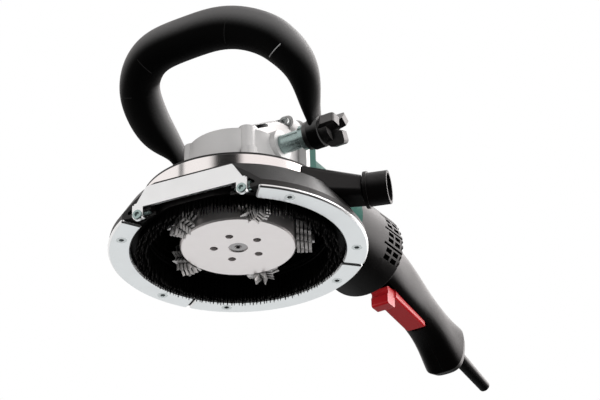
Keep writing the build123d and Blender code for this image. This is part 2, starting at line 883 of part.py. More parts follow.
switch_seat = Plane.XY.offset(switch_bottom).move(Location((switch_front + switch_length / 2, 0, 0)))
with BuildPart() as housing_ribs:
    rod(across_x(rear_bearing_start - web_margin), rear_radius, rear_bearing_width + 2 * web_margin)
    for x, z in housing_screw_places:
        rod(across_y(x, rear_radius, z), housing_boss_radius, 2 * rear_radius)
    for x in (switch_front + switch_rib, switch_front + switch_length - 2 * switch_rib):
        block(Plane.XY.offset(switch_bottom).move(Location((x + switch_rib / 2, 0, 0))), switch_rib,
              2 * rear_radius, switch_height)
    rod(across_y(paddle_pin_x, rear_radius, paddle_pin_height), paddle_boss_radius, 2 * rear_radius)
    add(housing_body.part, mode=Mode.INTERSECT)
    rod(across_x(rear_bearing_start), rear_bearing_radius, rear_bearing_width, mode=Mode.SUBTRACT)
    rod(across_x(rear_bearing_start - web_margin), rotor_shaft_radius + free_gap, web_margin,
        mode=Mode.SUBTRACT)
    block(switch_seat, switch_length, 2 * switch_half_width, switch_height, mode=Mode.SUBTRACT)

sleeve_seat = Plane(
    origin=handle_end.from_local_coords((0, sleeve_rise, 0)), x_dir=handle_end.x_dir,
    z_dir=handle_end.z_dir,
)
with BuildPart() as housing_shell:
    add(housing_body.part)
    add(housing_inside.part, mode=Mode.SUBTRACT)
    add(housing_ribs.part)
    for group in range(vent_groups):
        height = axis_height + vent_top - group * vent_group_pitch
        for side in (-1, 1):
            block(across_y(vent_start + vent_length / 2, side * rear_radius, height), vent_length,
                  vent_height, side * vent_depth, mode=Mode.SUBTRACT)
            for drop in vent_hole_drops:
                for hole in range(vent_holes):
                    middle = vent_hole_start + vent_hole_length / 2 + hole * vent_hole_pitch
                    block(across_y(middle, side * rear_radius, height - drop), vent_hole_length,
                          vent_hole_height, side * vent_depth, mode=Mode.SUBTRACT)
    for x, z in housing_screw_places:
        rod(across_y(x, rear_radius, z), housing_screw_head_radius + sliding_gap,
            rear_radius - housing_screw_seat, mode=Mode.SUBTRACT)
        rod(across_y(x, rear_radius, z), housing_screw_radius, rear_radius + housing_screw_reach,
            mode=Mode.SUBTRACT)
    paddle_gap = 2 * (paddle_half_width + free_gap)
    paddle_run = paddle_rear - paddle_front + paddle_front_gap + free_gap
    block(Plane.XY.offset(paddle_rear_bottom).move(
        Location((paddle_front - paddle_front_gap + paddle_run / 2, 0, 0))), paddle_run, paddle_gap,
        paddle_top + paddle_heel - paddle_rear_bottom, mode=Mode.SUBTRACT)
    rod(across_y(paddle_pin_x, paddle_pin_half_length, paddle_pin_height), paddle_pin_radius,
        2 * paddle_pin_half_length, mode=Mode.SUBTRACT)
    rod(sleeve_seat.offset(-heel_bevel), sleeve_root_radius, 2 * heel_bevel, mode=Mode.SUBTRACT)

for name, keep in (("housing_left", Keep.BOTTOM), ("housing_right", Keep.TOP)):
    with BuildPart() as housing_half:
        add(housing_shell.part)
        split(bisect_by=Plane.XZ, keep=keep)
    write(housing_half, name)

with BuildPart() as housing_screws:
    for x, z in housing_screw_places:
        rod(across_y(x, housing_screw_seat + housing_screw_head, z), housing_screw_head_radius,
            housing_screw_head)
        rod(across_y(x, housing_screw_seat, z), housing_screw_radius,
            housing_screw_seat + housing_screw_reach)
write(housing_screws, "housing_screws")

with BuildPart() as switch_block:
    block(switch_seat, switch_length, 2 * switch_half_width, switch_height)
write(switch_block, "switch_block")

# Paddle with its lock lever: the lever straddles the tongue at the paddle's front
lever_rear = paddle_front + lock_lever_length
lever_pin_x = paddle_front + lock_lever_pin_back
with BuildPart() as paddle_switch:
    with BuildSketch(Plane.XZ):
        with BuildLine():
            Polyline(
                (lever_rear + free_gap, paddle_front_bottom),
                (paddle_rear - paddle_heel, paddle_rear_bottom),
                (paddle_rear, paddle_rear_bottom + paddle_heel), (paddle_rear, paddle_top),
                (lever_rear + free_gap, paddle_top), close=True,
            )
        make_face()
    extrude(amount=paddle_half_width, both=True)
    fillet(paddle_switch.edges().filter_by(Axis.Z).group_by(Axis.X)[-1], paddle_corner)
    fillet([
        edge for edge in paddle_switch.edges().filter_by(GeomType.LINE)
        if edge.center().Z < paddle_front_bottom and abs(edge.center().Y) > paddle_tongue_half_width
    ], paddle_edge)
    rod(across_y(lever_pin_x, paddle_tongue_half_width, lock_lever_pin_height), paddle_tongue_radius,
        2 * paddle_tongue_half_width)
    block(across_x(lever_pin_x, z=lock_lever_pin_height), 2 * paddle_tongue_half_width,
          2 * paddle_tongue_radius, lever_rear + 2 * free_gap - lever_pin_x)
    rod(across_y(paddle_pin_x, paddle_half_width, paddle_pin_height), paddle_pin_radius + running_gap,
        2 * paddle_half_width, mode=Mode.SUBTRACT)
    rod(across_y(lever_pin_x, paddle_half_width, lock_lever_pin_height),
        lock_lever_pin_radius + running_gap, 2 * paddle_half_width, mode=Mode.SUBTRACT)
write(paddle_switch, "paddle_switch")

lever_bottom = paddle_front_bottom - lock_lever_drop
lever_top = lock_lever_pin_height + lock_lever_rise
slot_radius = paddle_tongue_radius + free_gap
slot_width = 2 * (paddle_tongue_half_width + free_gap)
with BuildPart() as lock_lever:
    block(Plane.XY.offset(lever_bottom).move(Location(((paddle_front + lever_rear) / 2, 0, 0))),
          lock_lever_length, 2 * lock_lever_half_width, lever_top - lever_bottom)
    fillet(lock_lever.edges().filter_by(Axis.Y), lock_lever_corner)
    rod(across_y(paddle_front - lock_lever_hollow_reach, lock_lever_half_width,
                 lock_lever_pin_height - lock_lever_hollow_drop),
        lock_lever_hollow, 2 * lock_lever_half_width, mode=Mode.SUBTRACT)
    rod(across_y(lever_pin_x, slot_width / 2, lock_lever_pin_height), slot_radius, slot_width,
        mode=Mode.SUBTRACT)
    block(across_x(lever_pin_x, z=lock_lever_pin_height), slot_width, 2 * slot_radius, lock_lever_length,
          mode=Mode.SUBTRACT)
    block(Plane.XY.offset(lock_lever_pin_height).move(Location((lever_pin_x, 0, 0))), 2 * slot_radius,
          slot_width, lock_lever_rise, mode=Mode.SUBTRACT)
    rod(across_y(lever_pin_x, lock_lever_half_width, lock_lever_pin_height), lock_lever_pin_radius,
        2 * lock_lever_half_width)
write(lock_lever, "lock_lever")

with BuildPart() as paddle_pin:
    rod(across_y(paddle_pin_x, paddle_pin_half_length, paddle_pin_height), paddle_pin_radius,
        2 * paddle_pin_half_length)
write(paddle_pin, "paddle_pin")

with BuildPart() as cable_sleeve:
    rod(sleeve_seat.offset(-heel_bevel - sleeve_collar_thick), sleeve_collar_radius, sleeve_collar_thick)
    rod(sleeve_seat.offset(-heel_bevel), sleeve_root_radius, heel_bevel)
    with BuildSketch(sleeve_seat):
        Circle(sleeve_root_radius)
    with BuildSketch(sleeve_seat.offset(sleeve_length)):
        Circle(sleeve_tip_radius)
    loft()
    rod(sleeve_seat.offset(-heel_bevel - sleeve_collar_thick), sleeve_bore,
        heel_bevel + sleeve_collar_thick + sleeve_length, mode=Mode.SUBTRACT)
write(cable_sleeve, "cable_sleeve")


# Guard: a moulded shell with a flat front, carried by a steel collar that turns on the neck
def guard_deck(forward, side, height):
    """Level plane at a point of the guard's own frame, turned with the guard."""
    return Plane(
        origin=guard_plane.from_local_coords((forward, side, height)), x_dir=guard_plane.x_dir,
        z_dir=(0, 0, 1),
    )


def hinge_plane(side):
    """Plane across the flip segment's hinge: local x is outward, local y is up."""
    return Plane(
        origin=guard_plane.from_local_coords((-hinge_distance, side, hinge_height)),
        x_dir=-guard_plane.x_dir, z_dir=guard_plane.y_dir,
    )


def beyond(distance, bottom, top, half_width=ring_radius, mode=Mode.SUBTRACT):
    """Take away what stands further forward than a distance, between two heights."""
    block(guard_deck(-distance - ring_radius / 2, 0, bottom), ring_radius, 2 * half_width,
          top - bottom, mode=mode)


def ring_sector(height, inner, outer, start, size):
    """Sector of a flat ring, in the guard's frame."""
    with BuildSketch(guard_deck(0, 0, height)) as outline:
        with BuildLine():
            outer_arc = CenterArc((0, 0), outer, start, size)
            inner_arc = CenterArc((0, 0), inner, start, size)
            Line(outer_arc @ 0, inner_arc @ 0)
            Line(outer_arc @ 1, inner_arc @ 1)
        make_face()
    return outline.sketch


def duct_plane(x, y, height, direction):
    """Upright plane across the duct at a point, its normal pointing out of the guard."""
    cos, sin = math.cos(math.radians(direction)), math.sin(math.radians(direction))
    return Plane(origin=(x, y, height), x_dir=(-sin, cos, 0), z_dir=(cos, sin, 0))


duct_face = duct_plane(duct_end_x, duct_end_y, duct_middle_height, duct_direction)
duct_root = duct_plane(duct_root_x, duct_root_y, duct_middle_height + duct_rise, duct_root_direction)


def duct_core(depth, inset, mode=Mode.ADD):
    """Tapered box of the duct, drawn in by an inset, from a depth below its end inwards."""
    corner = duct_corner - inset
    loft([
        rounded(duct_face.offset(-depth), duct_width / 2 - inset, duct_height / 2 - inset, corner),
        rounded(duct_root, duct_root_width / 2 - inset, duct_root_height / 2 - inset, corner),
    ], mode=mode)


shell_outline = [
    (0, plate_top), (rim_radius, plate_top), (rim_radius, plate_top + rim_height),
    (shell_top_radius, shell_top), (0, shell_top),
]
collar_outline = [
    (0, shell_top), (collar_radius, shell_top), (collar_radius, collar_top), (0, collar_top),
]
flange_top = plate_top + flange_depth
deck_radius = collar_radius - collar_thick - shell_thick
lug_start = hinge_half_span - flip_lug_thick / 2
screw_reach = lug_start + flip_lug_thick + hinge_screw_head

with BuildPart() as guard_front:
    block(guard_deck(front_wall / 2 - front_flat, 0, front_lip), front_wall, 2 * ring_radius,
          shell_top - front_lip)
    lathe(shell_outline, mode=Mode.INTERSECT)

with BuildPart() as guard_shell:
    lathe([
        (ring_inner_radius, plate_top), (rim_radius, plate_top), (rim_radius, plate_top + rim_height),
        (shell_top_radius, shell_top), (deck_radius, shell_top), (deck_radius, shell_top - shell_thick),
        (shell_top_radius - shell_thick, shell_top - shell_thick),
        (rim_radius - shell_thick, plate_top + rim_height), (rim_radius - shell_thick, flange_top),
        (ring_inner_radius, flange_top),
    ])
    beyond(front_flat, plate_top, shell_top)
    add(guard_front.part)
    beyond(hinge_distance, plate_top, flange_top, screw_reach + free_gap)
    for side in (-1, 1):
        middle = (lug_start + screw_reach) / 2
        block(guard_deck(-hinge_distance, side * middle, plate_top), 2 * (flip_lug_radius + free_gap),
              screw_reach - lug_start + 2 * free_gap, flange_depth, mode=Mode.SUBTRACT)
        block(guard_deck(hinge_block_depth / 2 - front_flat,
                         side * (lug_start - sliding_gap - hinge_block_width / 2), flange_top),
              hinge_block_depth, hinge_block_width, front_lip + front_wall - flange_top)
        rod(hinge_plane(side * lug_start), hinge_screw_radius, -side * hinge_block_width,
            mode=Mode.SUBTRACT)
    for angle in plate_screw_angles:
        with BuildSketch(guard_deck(0, 0, plate_top)) as screw_hole:
            with PolarLocations(plate_screw_circle, 1, start_angle=angle):
                Circle(plate_screw_radius)
        extrude(screw_hole.sketch, amount=plate_screw_grip, mode=Mode.SUBTRACT)
    duct_core(duct_wall, duct_wall, mode=Mode.SUBTRACT)
write(guard_shell, "guard_shell")

sleeve_inner = neck_radius + sliding_gap
sleeve_bottom = neck_bottom + 2 * snap_width + sliding_gap
with BuildPart() as steel_collar:
    lathe([
        (collar_radius - collar_thick, shell_top), (collar_radius, shell_top), (collar_radius, collar_top),
        (sleeve_inner, collar_top), (sleeve_inner, sleeve_bottom),
        (sleeve_inner + collar_sleeve_wall, sleeve_bottom),
        (sleeve_inner + collar_sleeve_wall, collar_top - collar_plate),
        (collar_radius - collar_thick, collar_top - collar_plate),
    ])
    duct_core(duct_wall, duct_wall, mode=Mode.SUBTRACT)
write(steel_collar, "steel_collar")

# Wear plates under the guard, each held by countersunk screws
half_gap = math.degrees(plate_gap / 2 / ring_radius)
plates = (
    ("wear_plate_rear", -rear_plate_half_angle + half_gap, 2 * (rear_plate_half_angle - half_gap)),
    ("wear_plate_left", rear_plate_half_angle + half_gap,
     side_plate_end - rear_plate_half_angle - half_gap),
    ("wear_plate_right", -side_plate_end, side_plate_end - rear_plate_half_angle - half_gap),
)
for name, start, size in plates:
    with BuildPart() as wear_plate:
        extrude(ring_sector(plate_face, ring_inner_radius, ring_radius, start, size), amount=plate_thick)
        fillet(wear_plate.edges().filter_by(Axis.Z), plate_gap)
        rim_edge = wear_plate.edges().group_by(Axis.Z)[0].filter_by(GeomType.CIRCLE)
        chamfer(rim_edge.sort_by(SortBy.RADIUS)[-1], plate_bevel)
        for angle in plate_screw_angles:
            if start < angle < start + size:
                with BuildSketch(guard_deck(0, 0, plate_face)) as screw_hole:
                    with PolarLocations(plate_screw_circle, 1, start_angle=angle):
                        Circle(plate_screw_radius)
                extrude(screw_hole.sketch, amount=plate_thick, mode=Mode.SUBTRACT)
                with Locations(guard_deck(0, 0, plate_face + plate_screw_head / 2)):
                    with PolarLocations(plate_screw_circle, 1, start_angle=angle):
                        Cone(plate_screw_head_radius, plate_screw_radius, plate_screw_head,
                             mode=Mode.SUBTRACT)
    write(wear_plate, name)

with BuildPart() as plate_screws:
    for angle in plate_screw_angles:
        with BuildSketch(guard_deck(0, 0, plate_face)) as screw_shank:
            with PolarLocations(plate_screw_circle, 1, start_angle=angle):
                Circle(plate_screw_radius)
        extrude(screw_shank.sketch, amount=plate_thick + plate_screw_grip)
        with Locations(guard_deck(0, 0, plate_face + plate_screw_head / 2)):
            with PolarLocations(plate_screw_circle, 1, start_angle=angle):
                Cone(plate_screw_head_radius, plate_screw_radius, plate_screw_head)
        with BuildSketch(guard_deck(0, 0, plate_face)) as socket:
            with PolarLocations(plate_screw_circle, 1, start_angle=angle):
                RegularPolygon(plate_socket_radius, socket_sides)
        extrude(socket.sketch, amount=plate_socket_depth, mode=Mode.SUBTRACT)
write(plate_screws, "plate_screws")

# Brush ring: a carrier on the shell's flange and arcs of bristles in it
skirt_inner = brush_outer_radius + sliding_gap
skirt_outer = skirt_inner + holder_wall
backing_top = holder_top - holder_plate
with BuildPart() as brush_holder:
    lathe([
        (brush_inner_radius, backing_top), (skirt_inner, backing_top), (skirt_inner, flange_top),
        (holder_foot_radius, flange_top), (holder_foot_radius, flange_top + holder_foot),
        (skirt_outer, flange_top + holder_foot), (skirt_outer, holder_top),
        (brush_inner_radius, holder_top),
    ])
    beyond(front_flat - front_wall - sliding_gap, flange_top, holder_top)
    with BuildSketch(guard_deck(0, 0, flange_top)) as front_foot:
        Circle(ring_radius)
        Circle(skirt_outer, mode=Mode.SUBTRACT)
        with Locations((-ring_radius, 0)):
            Rectangle(2 * (ring_radius - brush_inner_radius + plate_gap), 2 * ring_radius,
                      mode=Mode.INTERSECT)
    extrude(front_foot.sketch, amount=holder_foot, mode=Mode.SUBTRACT)
write(brush_holder, "brush_holder")

arc_size = 360 / arc_count - math.degrees(arc_gap / brush_inner_radius)
strand_step = arc_size / strands_per_row
strand_tip = plate_face - brush_drop
row_pitch = (brush_outer_radius - brush_inner_radius) / strand_rows
for number in range(1, arc_count + 1):
    arc_start = 360 / arc_count * (number - 1)
    with BuildPart() as brush_arc:
        extrude(ring_sector(backing_top - brush_backing, brush_inner_radius, brush_outer_radius,
                            arc_start, arc_size), amount=brush_backing)
        with BuildSketch(guard_deck(0, 0, strand_tip)) as strands:
            for row in range(strand_rows):
                circle = brush_inner_radius + (row + 0.5) * row_pitch
                for strand in range(strands_per_row):
                    turn = arc_start + (strand + 0.5) * strand_step
                    with PolarLocations(circle, 1, start_angle=turn):
                        RegularPolygon(strand_size, strand_sides,
                                       rotation=180 / strand_sides * ((strand + row) % 2))
        extrude(strands.sketch, amount=backing_top - brush_backing + strand_root - strand_tip)
    write(brush_arc, f"brush_arc_{number}")

# Flip segment: stands up in front of the shell's flat, swings down to close the ring
flip_face = front_flat - hinge_distance + sliding_gap + flip_plate_thick
flip_front = Plane(
    origin=guard_plane.from_local_coords((-hinge_distance - flip_face, 0, hinge_height)),
    x_dir=guard_plane.y_dir, z_dir=guard_plane.x_dir,
)


def pad_screw_seat(side, depth):
    """Plane across a pad's screw, at a depth below the segment's front face."""
    return Plane(
        origin=flip_front.from_local_coords((side * hinge_half_span, -pad_screw_drop, depth)),
        x_dir=flip_front.x_dir, z_dir=flip_front.z_dir,
    )


with BuildPart() as flip_segment:
    with BuildSketch(flip_front):
        with BuildLine():
            Polyline(
                (-flip_root_half_width, flip_reach_inner), (flip_root_half_width, flip_reach_inner),
                (flip_tip_half_width, flip_reach_outer), (-flip_tip_half_width, flip_reach_outer),
                close=True,
            )
        make_face()
    extrude(amount=flip_plate_thick)
    fillet(flip_segment.edges().filter_by(Axis((0, 0, 0), guard_plane.x_dir)), plate_gap)
    for side in (-1, 1):
        with BuildSketch(hinge_plane(side * hinge_half_span)) as lug:
            Circle(flip_lug_radius)
            with BuildLine():
                Polyline(
                    (0, -flip_lug_radius), (flip_face, -flip_lug_radius), (flip_face, flip_lug_height),
                    (flip_face - flip_plate_thick, flip_lug_height),
                    (flip_face - flip_plate_thick, flip_lug_radius), (0, flip_lug_radius), close=True,
                )
            make_face()
            Circle(hinge_screw_radius + running_gap, mode=Mode.SUBTRACT)
        extrude(lug.sketch, amount=flip_lug_thick / 2, both=True)
        with BuildSketch(flip_front) as pad:
            with Locations((side * hinge_half_span, flip_pad_half_width - flip_pad_drop)):
                Circle(flip_pad_half_width)
                Rectangle(2 * flip_pad_half_width, flip_pad_drop, align=(Align.CENTER, Align.MIN))
        extrude(pad.sketch, amount=flip_plate_thick)
        rod(pad_screw_seat(side, 0), pad_screw_radius, flip_plate_thick + pad_screw_proud,
            mode=Mode.SUBTRACT)
        rod(pad_screw_seat(side, 0), pad_screw_head_radius, pad_screw_head - pad_screw_proud,
            mode=Mode.SUBTRACT)
write(flip_segment, "flip_segment")

with BuildPart() as pad_screws:
    for side in (-1, 1):
        rod(pad_screw_seat(side, -pad_screw_proud), pad_screw_head_radius, pad_screw_head)
        rod(pad_screw_seat(side, 0), pad_screw_radius, pad_screw_length)
        with BuildSketch(pad_screw_seat(side, -pad_screw_proud)) as socket:
            RegularPolygon(pad_socket_radius, socket_sides)
        extrude(socket.sketch, amount=pad_socket_depth, mode=Mode.SUBTRACT)
write(pad_screws, "pad_screws")

with BuildPart() as hinge_screws:
    for side in (-1, 1):
        rod(hinge_plane(side * (lug_start - sliding_gap - hinge_block_width + plate_gap)),
            hinge_screw_radius, side * (hinge_block_width + sliding_gap - plate_gap + flip_lug_thick))
        rod(hinge_plane(side * (lug_start + flip_lug_thick)), hinge_screw_head_radius,
            side * hinge_screw_head)
write(hinge_screws, "hinge_screws")

# Dust duct on the guard and the hose stub that swivels in its end
with BuildPart() as dust_duct:
    duct_core(0, 0)
    duct_core(duct_wall, duct_wall, mode=Mode.SUBTRACT)
    lathe(shell_outline, mode=Mode.SUBTRACT)
    lathe(collar_outline, mode=Mode.SUBTRACT)
    rod(duct_face.offset(-duct_wall), stub_neck_radius + sliding_gap, duct_wall, mode=Mode.SUBTRACT)
write(dust_duct, "dust_duct")

stub_back = duct_wall + sliding_gap + stub_lip_thick
with BuildPart() as hose_stub:
    rod(duct_face.offset(-stub_back), stub_neck_radius + stub_lip, stub_lip_thick)
    rod(duct_face.offset(-stub_back), stub_neck_radius, stub_back + stub_neck_length)
    rod(duct_face.offset(stub_neck_length), stub_radius + stub_rib, stub_rib_width)
    rod(duct_face.offset(stub_neck_length), stub_radius, stub_rib_width + stub_length)
    rod(duct_face.offset(-stub_back), stub_bore,
        stub_back + stub_neck_length + stub_rib_width + stub_length, mode=Mode.SUBTRACT)
    rod(duct_face.offset(stub_neck_length + stub_rib_width + stub_length - stub_mouth_depth),
        stub_mouth, stub_mouth_depth, mode=Mode.SUBTRACT)
write(hose_stub, "hose_stub")

# Bow handle, clamped between the stud's toothed disc and the wing knob
stud_end = side_boss_face + stud_shoulder
near_eye_inner = stud_end + tooth_disc_thick + sliding_gap
near_eye_outer = near_eye_inner + near_eye_length
far_eye_inner = side_boss_face + sliding_gap
knob_start = near_eye_outer + sliding_gap
lean = math.radians(bow_tilt)
bow_plane = Plane(
    origin=(0, 0, pivot_height), x_dir=(0, 1, 0), z_dir=(math.cos(lean), 0, math.sin(lean))
)

with BuildPart() as bow_handle:
    ovals = []
    last = len(bow_sections) - 1
    for k, (side, reach, half_thick, half_depth) in enumerate(bow_sections):
        before = bow_sections[max(k - 1, 0)]
        after = bow_sections[min(k + 1, last)]
        along = bow_plane.from_local_coords((after[0], after[1], 0)) - bow_plane.from_local_coords(
            (before[0], before[1], 0))
        section = Plane(
            origin=bow_plane.from_local_coords((side, reach, 0)), x_dir=bow_plane.z_dir, z_dir=along
        )
        with BuildSketch(section) as bow_oval:
            Ellipse(half_depth, half_thick)
        ovals.append(bow_oval.sketch.face())
    loft(ovals)
    rod(across_y(0, -near_eye_inner, pivot_height), eye_radius, near_eye_length)
    rod(across_y(0, far_eye_inner, pivot_height), eye_radius, -far_eye_length)
    rod(across_y(0, -near_eye_inner, pivot_height), stud_radius + running_gap, near_eye_length,
        mode=Mode.SUBTRACT)
    rod(across_y(0, far_eye_inner, pivot_height), stud_radius + running_gap, -far_eye_length,
        mode=Mode.SUBTRACT)
write(bow_handle, "bow_handle")

with BuildPart() as handle_stud:
    rod(across_y(0, bolt_grip - side_boss_face, pivot_height), stud_radius, bolt_grip)
    rod(across_y(0, -side_boss_face, pivot_height), stud_body_radius, stud_shoulder)
    rod(across_y(0, stud_collar_width - stud_end, pivot_height), stud_collar_radius, stud_collar_width)
    rod(across_y(0, -stud_end, pivot_height), stud_radius,
        knob_start + knob_hub_length - stud_end)
write(handle_stud, "handle_stud")

with BuildPart() as tooth_disc:
    rod(across_y(0, -stud_end, pivot_height), tooth_disc_radius, tooth_disc_thick)
    rod(across_y(0, -stud_end, pivot_height), stud_radius, tooth_disc_thick, mode=Mode.SUBTRACT)
write(tooth_disc, "tooth_disc")

with BuildPart() as wing_knob:
    knob_face = across_y(0, -knob_start, pivot_height)
    rod(knob_face, knob_hub_radius, knob_hub_length)
    for wing in range(knob_wings):
        turn = math.radians(knob_wing_angle + 360 / knob_wings * wing)
        wing_plane = Plane(
            origin=(0, -knob_start, pivot_height), x_dir=(math.cos(turn), 0, math.sin(turn)),
            z_dir=(math.sin(turn), 0, -math.cos(turn)),
        )
        with BuildPart() as knob_wing:
            with BuildSketch(wing_plane):
                with BuildLine():
                    Polyline(
                        (0, knob_wing_foot), (knob_hub_radius, knob_wing_foot),
                        (knob_wing_reach, knob_hub_length - knob_wing_corner),
                        (knob_wing_reach, knob_wing_rise), (knob_hub_radius / 2, knob_wing_rise),
                        (0, knob_hub_length), close=True,
                    )
                make_face()
            extrude(amount=knob_wing_thick / 2, both=True)
            rim = knob_wing.edges().filter_by(Axis((0, 0, 0), wing_plane.z_dir))
            fillet(rim.group_by(Axis((0, 0, 0), wing_plane.x_dir))[-1], knob_wing_corner)
        add(knob_wing.part)
    rod(knob_face, stud_radius + running_gap, knob_wing_rise, mode=Mode.SUBTRACT)
write(wing_knob, "wing_knob")

with BuildPart() as pivot_bolt:
    rod(across_y(0, side_boss_face - bolt_grip, pivot_height), stud_radius,
        -(bolt_grip + sliding_gap + far_eye_length + sliding_gap))
    rod(across_y(0, far_eye_inner + far_eye_length + sliding_gap, pivot_height), bolt_head_radius,
        -bolt_head)
write(pivot_bolt, "pivot_bolt")
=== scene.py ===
"""Looks of the renovation grinder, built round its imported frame."""
import json
import math
import random

import bmesh
import bpy
from mathutils import Matrix, Vector


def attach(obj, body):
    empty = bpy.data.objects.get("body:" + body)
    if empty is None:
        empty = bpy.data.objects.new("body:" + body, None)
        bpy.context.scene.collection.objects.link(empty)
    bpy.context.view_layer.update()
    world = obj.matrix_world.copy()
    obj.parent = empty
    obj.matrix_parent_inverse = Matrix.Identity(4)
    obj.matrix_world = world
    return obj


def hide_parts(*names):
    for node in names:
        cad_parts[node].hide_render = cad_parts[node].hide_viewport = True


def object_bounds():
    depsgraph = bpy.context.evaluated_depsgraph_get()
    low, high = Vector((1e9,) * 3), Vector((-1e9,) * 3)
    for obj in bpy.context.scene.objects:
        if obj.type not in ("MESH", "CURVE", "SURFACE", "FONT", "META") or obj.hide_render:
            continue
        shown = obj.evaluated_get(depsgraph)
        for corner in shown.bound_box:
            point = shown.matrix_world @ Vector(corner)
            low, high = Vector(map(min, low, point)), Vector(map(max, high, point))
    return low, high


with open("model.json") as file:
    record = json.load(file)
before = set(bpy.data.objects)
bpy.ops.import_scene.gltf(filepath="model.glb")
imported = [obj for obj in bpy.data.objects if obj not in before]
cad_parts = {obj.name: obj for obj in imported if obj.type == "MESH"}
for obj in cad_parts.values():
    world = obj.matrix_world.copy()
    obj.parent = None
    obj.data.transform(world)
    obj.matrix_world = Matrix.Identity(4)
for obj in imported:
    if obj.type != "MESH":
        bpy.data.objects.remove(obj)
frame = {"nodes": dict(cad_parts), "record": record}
cad_box = [list(corner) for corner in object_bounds()]
nodes = frame["nodes"]
scene = bpy.context.scene
scene.view_settings.view_transform = "Standard"

MM = 0.001
UP = Vector((0, 0, 1))

# Camera: solved from the ring, the disc and its holes
AIM_HEIGHT = -4.0 * MM
CAMERA_DISTANCE = 2252.6 * MM
CAMERA_BELOW = math.radians(29.08)
PART_TURN = math.radians(58.0)
YAW = math.radians(1.51)
PITCH = math.radians(30.14)
ROLL = math.radians(-1.55)
SENSOR = 36.0
FOCAL_PIXELS = 2740.54
IMAGE_WIDTH = 600
CLIP = (0.05, 60.0)


def make_camera():
    """The camera stands below the tool and looks up at the milling head. Gives its right and its back."""
    turn = Matrix.Rotation(-PART_TURN, 3, "Z")
    place = Vector((0, -math.cos(CAMERA_BELOW), -math.sin(CAMERA_BELOW))) * CAMERA_DISTANCE
    ahead = Vector((math.sin(YAW) * math.cos(PITCH), math.cos(YAW) * math.cos(PITCH), math.sin(PITCH)))
    right = Vector((math.cos(YAW), -math.sin(YAW), 0))
    up = right.cross(ahead)
    c, s = math.cos(ROLL), math.sin(ROLL)
    axes = [turn @ (c * right + s * up), turn @ (c * up - s * right), turn @ -ahead]
    data = bpy.data.cameras.new("camera")
    data.sensor_fit = "HORIZONTAL"
    data.sensor_width = SENSOR
    data.lens = FOCAL_PIXELS / IMAGE_WIDTH * SENSOR
    data.clip_start, data.clip_end = CLIP
    camera = bpy.data.objects.new("camera", data)
    scene.collection.objects.link(camera)
    at = turn @ place + AIM_HEIGHT * UP
    camera.matrix_world = Matrix.Translation(at) @ Matrix(axes).transposed().to_4x4()
    scene.camera = camera
    return axes[0], axes[2]


view_right, view_back = make_camera()


# Node helpers
def feed(tree, socket, value):
    """Links an input to another node's output, or sets its value."""
    if isinstance(value, bpy.types.NodeSocket):
        tree.links.new(value, socket)
    else:
        socket.default_value = value


def put(tree, kind, inputs=None, **settings):
    """Adds a node with its settings, and feeds its inputs."""
    made = tree.nodes.new(kind)
    for name, value in settings.items():
        setattr(made, name, value)
    for key, value in (inputs or {}).items():
        feed(tree, made.inputs[key], value)
    return made


def maths(tree, operation, a, b=0.0):
    return put(tree, "ShaderNodeMath", {0: a, 1: b}, operation=operation).outputs[0]


def dot(tree, a, b):
    return put(tree, "ShaderNodeVectorMath", {0: a, 1: b}, operation="DOT_PRODUCT").outputs["Value"]


def ramp(tree, value, low, high, first, last):
    """A smooth step of value from low to high, giving first to last."""
    return put(tree, "ShaderNodeMapRange",
               {"Value": value, "From Min": low, "From Max": high, "To Min": first, "To Max": last},
               interpolation_type="SMOOTHSTEP").outputs[0]


def blend_colour(tree, factor, a, b, mode="MIX"):
    """Mixes two colours; the mix node keeps its factor and its colours at these places."""
    return put(tree, "ShaderNodeMix", {0: factor, 6: a, 7: b}, data_type="RGBA", blend_type=mode).outputs[2]


def grey(level):
    return (level, level, level, 1.0)


# World: a dark studio with soft round panels, placed as seen from the tool: towards the camera, to the
# right of the picture, and up; then the panel's full and outer half angle, its level and its tint
PANELS = (
    ((-0.36, 0.84, 0.40), 34, 50, 3.4, (1.0, 0.955, 0.945)),
    ((0.56, 0.67, 0.485), 33, 43, 1.05, (1.0, 0.945, 0.935)),
    ((-0.15, -0.86, 0.485), 57, 67, 1.05, (1.0, 0.965, 0.955)),
    ((-0.72, 0.00, 0.69), 16, 40, 0.34, (1.0, 0.97, 0.96)),
    ((-0.874, 0.00, -0.485), 26, 40, 0.85, (0.985, 0.995, 1.0)),
    ((-0.97, 0.00, 0.10), 14, 34, 0.12, (1.0, 1.0, 1.0)),
)
DARK_LEVEL = 0.02
LINE_AZIMUTH = math.radians(-69.0)
LINE_HALF_WIDTH = (0.03, 0.07)
LINE_LEVEL = 0.22
LINE_SIDE = (0.3, 0.5)


